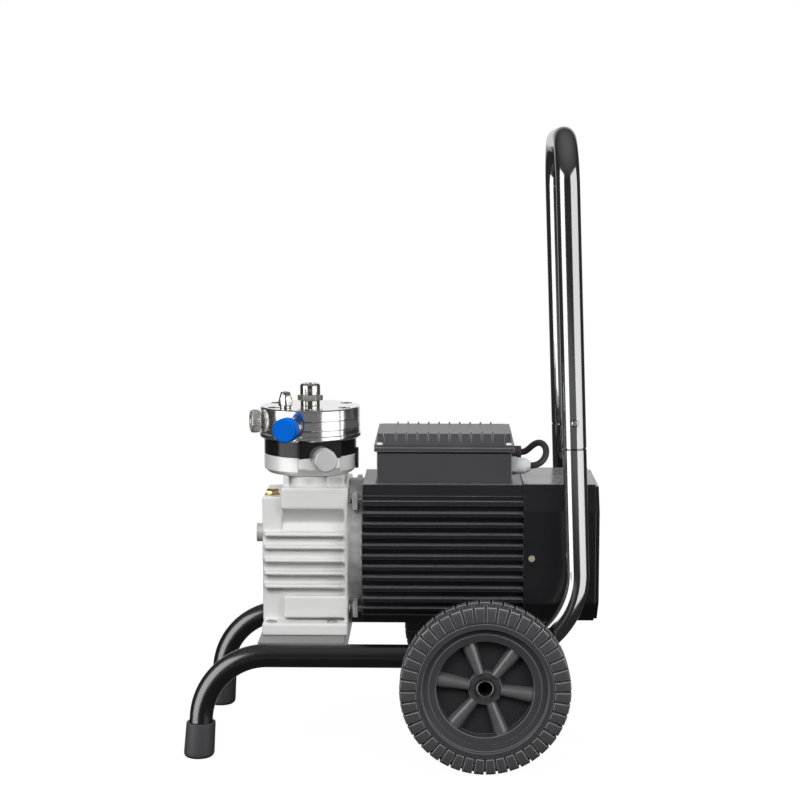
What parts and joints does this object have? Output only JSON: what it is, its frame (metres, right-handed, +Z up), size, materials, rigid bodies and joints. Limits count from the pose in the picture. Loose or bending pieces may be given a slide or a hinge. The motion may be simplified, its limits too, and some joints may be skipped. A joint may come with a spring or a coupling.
{
  "type": "airless paint sprayer",
  "caption": "Two-wheeled upright paint sprayer with a finned electric motor, an oil-driven diaphragm pump, a round valve head with two hand knobs and a lift-off tube handle.",
  "frame": {"origin": "on the ground, under the middle of the machine's length and width", "axes": "+X from the pump towards the motor's fan and the handle, +Z up, -Y is the machine's left side"},
  "size_m": [0.4984, 0.374, 0.751],
  "materials": {
    "frame_black": "gloss black powder coat",
    "boot_rubber": "matt moulded rubber",
    "tyre_rubber": "matt tyre rubber with lighter moulding edges",
    "wheel_plastic": "satin moulded plastic",
    "bright_steel": "polished bright steel",
    "zinc_steel": "zinc-plated steel",
    "spring_steel": "hardened spring steel",
    "motor_black": "satin black paint on cast aluminium",
    "raw_casting": "raw die-cast aluminium",
    "lamination_steel": "stacked electrical steel",
    "winding_copper": "varnished copper wire",
    "cowl_black": "satin black sheet steel",
    "box_plastic": "satin grey moulded plastic",
    "gasket_rubber": "soft black rubber",
    "capacitor_can": "drawn aluminium can",
    "gland_plastic": "pale grey nylon",
    "socket_plastic": "dark nylon",
    "lead_jacket": "dark grey cable jacket",
    "pump_casting": "pale painted aluminium casting",
    "brass_plug": "turned brass",
    "head_bright": "polished aluminium",
    "head_black": "gloss black anodised aluminium",
    "head_steel": "polished stainless steel",
    "diaphragm_rubber": "moulded nitrile rubber",
    "fitting_nickel": "nickel-plated brass",
    "relief_blue": "blue anodised aluminium",
    "knob_grey": "brushed grey aluminium",
    "black_plug": "black nylon",
    "fan_plastic": "black nylon"
  },
  "bodies": {
    "chassis": {"rail_left": "frame_black", "rail_right": "frame_black", "handle": "frame_black", "snap_springs": "spring_steel", "foot_boots": "boot_rubber", "axle": "zinc_steel", "axle_brackets": "frame_black", "axle_clips": "bright_steel", "front_deck": "frame_black", "rear_crossmember": "frame_black", "mounting_bolts": "zinc_steel", "motor_housing": "motor_black", "drive_bell": "raw_casting", "rear_shield": "raw_casting", "stator_core": "lamination_steel", "stator_windings": "winding_copper", "shaft_bearings": "bright_steel", "fan_cowl": "cowl_black", "cowl_grille": "cowl_black", "cover_screws": "zinc_steel", "bell_bolts": "zinc_steel", "box_base": "box_plastic", "box_lid": "box_plastic", "lid_gasket": "gasket_rubber", "capacitors": "capacitor_can", "cable_glands": "gland_plastic", "lead_socket": "socket_plastic", "control_lead": "lead_jacket", "pump_body": "pump_casting", "piston_sleeve": "zinc_steel", "piston": "bright_steel", "piston_spring": "spring_steel", "filler_plug": "brass_plug", "sight_plug": "fitting_nickel", "head_housing": "head_bright", "head_spacer": "head_black", "diaphragm": "diaphragm_rubber", "head_disc": "head_steel", "head_bolts": "zinc_steel", "suction_inlet": "fitting_nickel", "return_port": "fitting_nickel", "hose_outlet": "fitting_nickel", "relief_valve": "fitting_nickel", "pressure_valve": "fitting_nickel", "bleed_plug": "black_plug"},
    "left_wheel": {"wheel_left": "wheel_plastic", "tyre_left": "tyre_rubber", "bush_left": "bright_steel"},
    "right_wheel": {"wheel_right": "wheel_plastic", "tyre_right": "tyre_rubber", "bush_right": "bright_steel"},
    "rotor": {"rotor_core": "lamination_steel", "rotor_shaft": "zinc_steel", "cooling_fan": "fan_plastic", "eccentric": "zinc_steel", "eccentric_race": "bright_steel"},
    "relief_control": {"relief_knob": "relief_blue"},
    "pressure_control": {"pressure_knob": "knob_grey"},
    "left_button": {"snap_button_left": "bright_steel"},
    "right_button": {"snap_button_right": "bright_steel"}
  },
  "joints": [
    {"name": "left_wheel_spin", "type": "hinge", "parent": "chassis", "child": "left_wheel", "pos_m": [0.11125, -0.1655, 0.1], "axis": [0, 1, 0], "continuous": true},
    {"name": "right_wheel_spin", "type": "hinge", "parent": "chassis", "child": "right_wheel", "pos_m": [0.11125, 0.1655, 0.1], "axis": [0, 1, 0], "continuous": true},
    {"name": "rotor_spin", "type": "hinge", "parent": "chassis", "child": "rotor", "pos_m": [0.06125, 0, 0.23705], "axis": [1, 0, 0], "continuous": true},
    {"name": "relief_turn", "type": "hinge", "parent": "chassis", "child": "relief_control", "pos_m": [-0.12604, -0.08693, 0.3914], "axis": [-0.2588, -0.9659, 0], "range_deg": [0, 180]},
    {"name": "pressure_turn", "type": "hinge", "parent": "chassis", "child": "pressure_control", "pos_m": [-0.07946, -0.08693, 0.35515], "axis": [0.2588, -0.9659, 0], "range_deg": [0, 270]},
    {"name": "left_button_press", "type": "slide", "parent": "chassis", "child": "left_button", "axis": [0, 1, 0], "range_m": [0, 0.0055], "stiffness_N_per_m": 900, "deforming": ["snap_springs"]},
    {"name": "right_button_press", "type": "slide", "parent": "chassis", "child": "right_button", "axis": [0, -1, 0], "range_m": [0, 0.0055], "stiffness_N_per_m": 900, "deforming": ["snap_springs"]}
  ]
}
